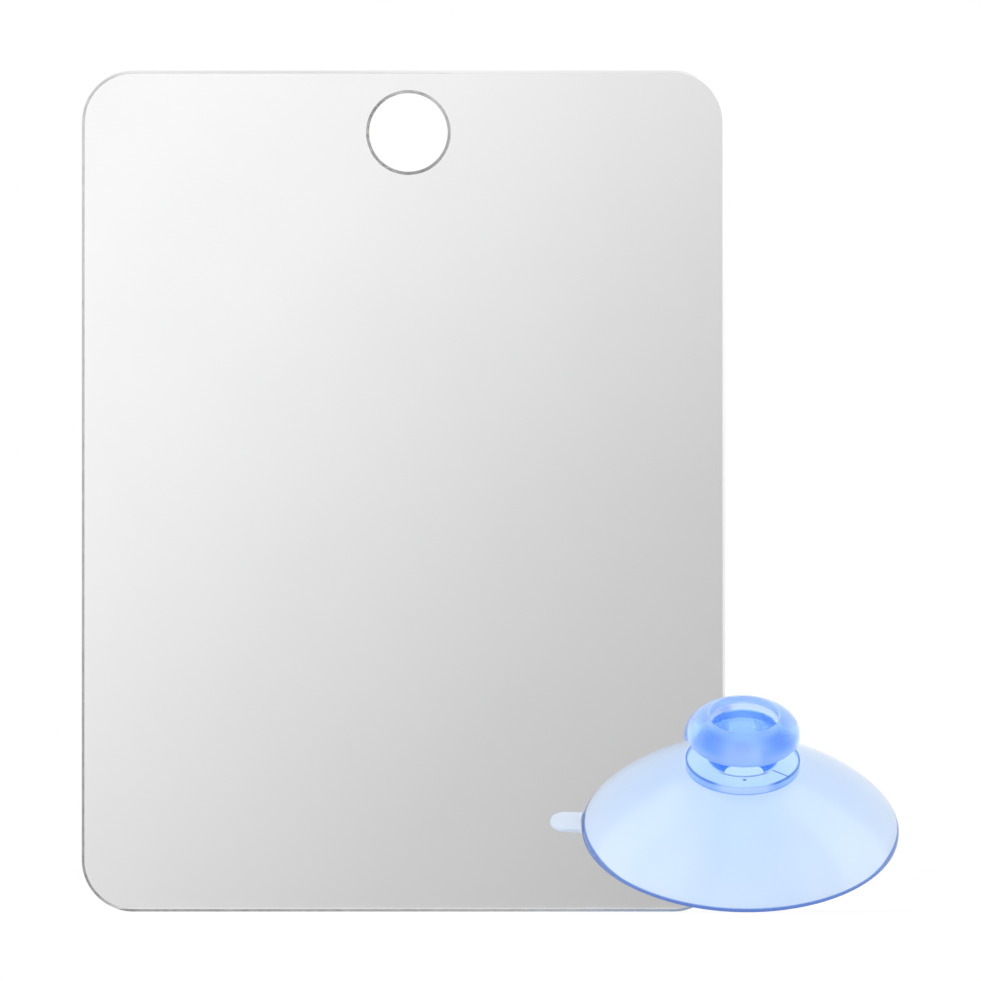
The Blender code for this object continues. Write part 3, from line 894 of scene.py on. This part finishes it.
def floor_finish(stage):
    """Pale floor that keeps shadows, lifted towards white for what looks straight at it."""
    recipe = Recipe("pale_floor")
    lit = recipe.add("ShaderNodeBsdfDiffuse", None, {"Color": toned(stage.floor)})
    white = recipe.add("ShaderNodeEmission", None, {"Color": WHITE, "Strength": 1.0})
    inputs = {0: 0.85 * recipe.seen(), 1: lit, 2: white}
    both = recipe.add("ShaderNodeMixShader", None, inputs)
    recipe.add("ShaderNodeOutputMaterial", None, {"Surface": both})
    return recipe.made


def make_world(stage):
    """Even light all round, which shows as plain white whatever its strength."""
    recipe = Recipe("studio", bpy.data.worlds)
    ends = {"Value": recipe.seen(), "To Min": stage.world, "To Max": 1.0}
    strength = recipe.add("ShaderNodeMapRange", None, ends)
    light = recipe.add("ShaderNodeBackground", None, {"Color": WHITE, "Strength": strength})
    recipe.add("ShaderNodeOutputWorld", None, {"Surface": light})
    bpy.context.scene.world = recipe.made


def card_finish():
    """The graded card that the mirror reflects: white at the upper left, greyer to the right.

    The tones go by 1.2 times the way to the right less the height, from -0.3 m to 0.165 m.
    """
    recipe = Recipe("graded_card")
    x, _, z = recipe.parts(recipe.place())
    tones = [
        (0.00, 1.0),
        (0.165, 0.997),
        (0.29, 0.926),
        (0.405, 0.822),
        (0.52, 0.713),
        (0.615, 0.629),
        (0.685, 0.584),
        (0.9, 0.47),
    ]
    stops = [(place, (v, v, v, 1.0)) for place, v in tones]
    factor = recipe.add("ShaderNodeMapRange", None, {0: 1.2 * x - z, 1: -0.30, 2: 0.165})
    return recipe.glow(recipe.add("ShaderNodeValToRGB", {"stops": stops}, {0: factor}))


def flat_board(name, low, high, height, vertical):
    """A flat rectangle as a grid of four points, lying or standing."""
    a = np.linspace(low[0], high[0], 2)[:, None] + np.zeros((1, 2))
    b = np.zeros((2, 1)) + np.linspace(low[1], high[1], 2)[None]
    c = np.full((2, 2), height)
    points = np.stack([a, c, b] if vertical else [a, b, c], -1)
    return surface(name, points, False, False)


def only_reflected(board):
    """Let a board show only in what is glossy or clear."""
    board.visible_camera = board.visible_diffuse = board.visible_shadow = False
    return board


def make_card():
    """The graded card in front of the mirror."""
    card = flat_board("graded_card", (-0.5, -0.4), (0.5, 0.6), -0.2, True)
    card.data.materials.append(card_finish())
    return only_reflected(card)


def make_soft_box(name, x, reach, strength):
    """A standing soft box at one side."""
    points = np.array([[(x, y, z) for z in (0.0, 3.2)] for y in reach])
    box = surface(name, points, False, False)
    box.data.materials.append(Recipe(name).glow(WHITE, strength))
    return only_reflected(box)


def make_lamp(name, power, size, spot):
    """A soft square lamp that looks at the object and doesn't show in glossy things."""
    data = bpy.data.lights.new(name, "AREA")
    data.energy = power
    data.size = size
    made = bpy.data.objects.new(name, data)
    bpy.context.scene.collection.objects.link(made)
    made.location = spot
    toward = Vector(LAMP_TARGET) - Vector(spot)
    made.rotation_euler = toward.to_track_quat("-Z", "Y").to_euler()
    made.visible_glossy = made.visible_transmission = False


def make_camera(stage):
    """A long lens that looks at the picture's middle, a little upwards."""
    data = bpy.data.cameras.new("camera")
    camera = bpy.data.objects.new("camera", data)
    bpy.context.scene.collection.objects.link(camera)
    data.lens = stage.lens
    data.sensor_width = 36.0
    data.clip_end = 50.0
    back = np.array([0.0, -math.cos(stage.pitch), -math.sin(stage.pitch)])
    camera.location = np.array(PICTURE_MIDDLE) + stage.distance * back
    camera.rotation_euler = (math.pi / 2 + stage.pitch, 0.0, 0.0)
    bpy.context.scene.camera = camera


class SHOWER_OT_plate(bpy.types.Operator):
    """Make the mirror plate's clear sheet and finish its layers"""

    bl_idname = "shower.plate"
    bl_label = "Mirror plate"

    def execute(self, context):
        """One fine sheet, and a finish on each thin layer."""
        plate = context.scene.shower_plate
        sheet = make_sheet(plate)
        sheet.data.materials.append(acrylic_finish(plate))
        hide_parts("acrylic_sheet")
        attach(sheet, "mirror")
        dress("antifog_film", film_finish(plate))
        dress("mirror_coating", silver_finish(plate))
        dress("backing_paint", paint_finish(plate))
        return {"FINISHED"}


class SHOWER_OT_dome(bpy.types.Operator):
    """Make the suction cup's dome"""

    bl_idname = "shower.dome"
    bl_label = "Cup dome"

    def execute(self, context):
        """A turned bell between its rim and the stem."""
        cup = context.scene.shower_cup
        dome = smooth(turned("suction_dome", dome_profile(cup), 288), 40.0)
        mark_cup_points(dome)
        dome.data.materials.append(dome_finish(cup))
        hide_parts("cup_dome")
        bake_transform(dome)
        return {"FINISHED"}


class SHOWER_OT_stem(bpy.types.Operator):
    """Make the suction cup's collar, neck and head"""

    bl_idname = "shower.stem"
    bl_label = "Cup stem"

    def execute(self, context):
        """A turned stem with the cross hole cut through its neck."""
        cup = context.scene.shower_cup
        stem = turned("hanging_stem", stem_profile(cup), 224)
        smooth(cut_out(stem, cross_hole(cup)), 40.0)
        mark_cup_points(stem)
        stem.data.materials.clear()
        stem.data.materials.append(stem_finish(cup))
        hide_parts("cup_stem")
        stem.visible_diffuse = stem.visible_shadow = False
        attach(stem, "stem")
        return {"FINISHED"}


class SHOWER_OT_tab(bpy.types.Operator):
    """Make the suction cup's pull tab"""

    bl_idname = "shower.tab"
    bl_label = "Pull tab"

    def execute(self, context):
        """A rounded tongue on the rim."""
        cup = context.scene.shower_cup
        tab = make_tab(cup)
        tab.data.materials.append(tab_finish(cup))
        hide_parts("pull_tab")
        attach(tab, "tab")
        return {"FINISHED"}


class SHOWER_OT_stage(bpy.types.Operator):
    """Set up the floor, the light and the camera"""

    bl_idname = "shower.stage"
    bl_label = "Studio"

    def execute(self, context):
        """A pale floor, white surroundings, a graded card, two soft lamps and a long lens."""
        stage = context.scene.shower_stage
        floor = flat_board("floor", (-6.0, -6.0), (6.0, 6.0), 0.0, False)
        floor.data.materials.append(floor_finish(stage))
        left = make_soft_box("left_box", -1.6, (-2.7, 0.9), stage.soft_box)
        right = make_soft_box("right_box", 1.6, (-2.2, 0.7), stage.soft_box)
        make_card()
        make_world(stage)
        make_lamp("key_lamp", stage.key, 1.4, (-1.3, -1.4, 2.1))
        make_lamp("fill_lamp", stage.fill, 1.6, (1.9, -1.5, 1.1))
        make_camera(stage)
        context.scene.view_settings.view_transform = "Standard"
        return {"FINISHED"}


class SHOWER_PT_panel(bpy.types.Panel):
    """The sizes, colours and pieces of the shower mirror"""

    bl_label = "Shower Mirror"
    bl_idname = "SHOWER_PT_panel"
    bl_space_type = "VIEW_3D"
    bl_region_type = "UI"
    bl_category = "Shower Mirror"

    def draw(self, context):
        """List the pieces, and the settings of each group."""
        layout = self.layout
        for operator in OPERATORS:
            layout.operator(operator.bl_idname)
        for name in SETTINGS:
            box = layout.box()
            group = getattr(context.scene, name)
            for setting in group.bl_rna.properties:
                if setting.identifier not in ("rna_type", "name"):
                    box.prop(group, setting.identifier)


OPERATORS = (SHOWER_OT_plate, SHOWER_OT_dome, SHOWER_OT_stem, SHOWER_OT_tab, SHOWER_OT_stage)
SETTINGS = {
    "shower_plate": PlateSettings,
    "shower_cup": CupSettings,
    "shower_stage": StageSettings,
}


def register():
    """Add the classes and the scene's settings."""
    for group in (*SETTINGS.values(), *OPERATORS, SHOWER_PT_panel):
        bpy.utils.register_class(group)
    for name, group in SETTINGS.items():
        setattr(bpy.types.Scene, name, PointerProperty(type=group))


def unregister():
    """Take the classes and the scene's settings away."""
    for name in SETTINGS:
        delattr(bpy.types.Scene, name)
    for group in reversed((*SETTINGS.values(), *OPERATORS, SHOWER_PT_panel)):
        bpy.utils.unregister_class(group)


def main():
    """Make every piece and the studio."""
    register()
    bpy.ops.shower.stage()
    bpy.ops.shower.plate()
    bpy.ops.shower.dome()
    bpy.ops.shower.stem()
    bpy.ops.shower.tab()


if __name__ == "__main__":
    main()
